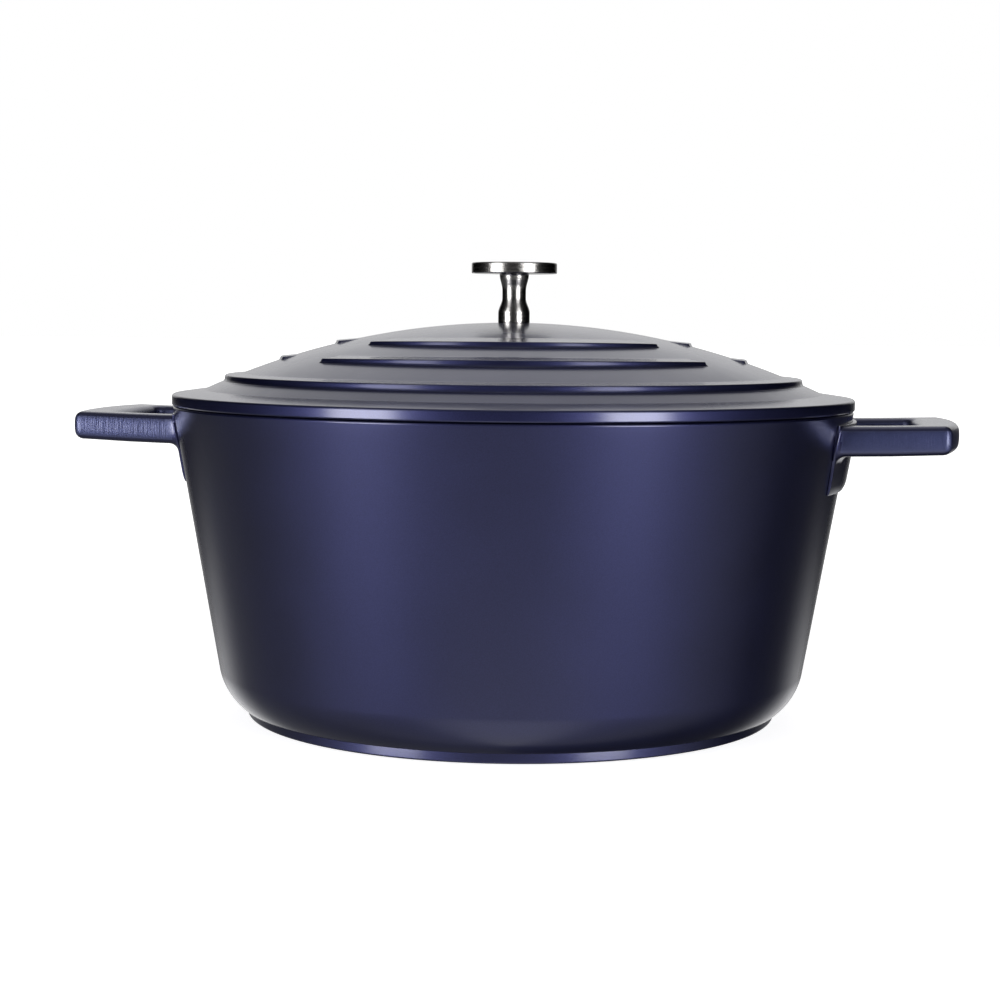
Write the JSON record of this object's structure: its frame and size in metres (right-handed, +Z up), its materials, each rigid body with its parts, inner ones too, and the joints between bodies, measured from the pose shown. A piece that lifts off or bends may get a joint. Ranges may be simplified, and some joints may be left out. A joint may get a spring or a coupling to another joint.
{
  "type": "lidded casserole pot",
  "caption": "Round cast casserole pot with tapering wall, loop side handles, and a lift-off domed lid with low stepped arcs and a turned steel mushroom knob.",
  "frame": {"origin": "middle of the foot's underside, on the pot's axis", "axes": "+X runs along the handles, through handle_right; +Z is up, the way the lid lifts; +Y is towards the back"},
  "size_m": [0.3782, 0.2918, 0.194],
  "materials": {
    "lacquered_casting": "satin",
    "stainless_steel": "satin"
  },
  "bodies": {
    "pot": {"pot_body": "lacquered_casting", "handle_right": "lacquered_casting", "handle_left": "lacquered_casting", "handle_screw_right_front": "stainless_steel", "handle_screw_right_back": "stainless_steel", "handle_screw_left_front": "stainless_steel", "handle_screw_left_back": "stainless_steel"},
    "lid_with_knob": {"lid": "lacquered_casting", "knob": "stainless_steel", "knob_washer": "stainless_steel", "knob_screw": "stainless_steel"}
  },
  "joints": [
    {"name": "lid_lift", "type": "slide", "parent": "pot", "child": "lid_with_knob", "axis": [0, 0, 1], "range_m": [0, 0.2]}
  ]
}
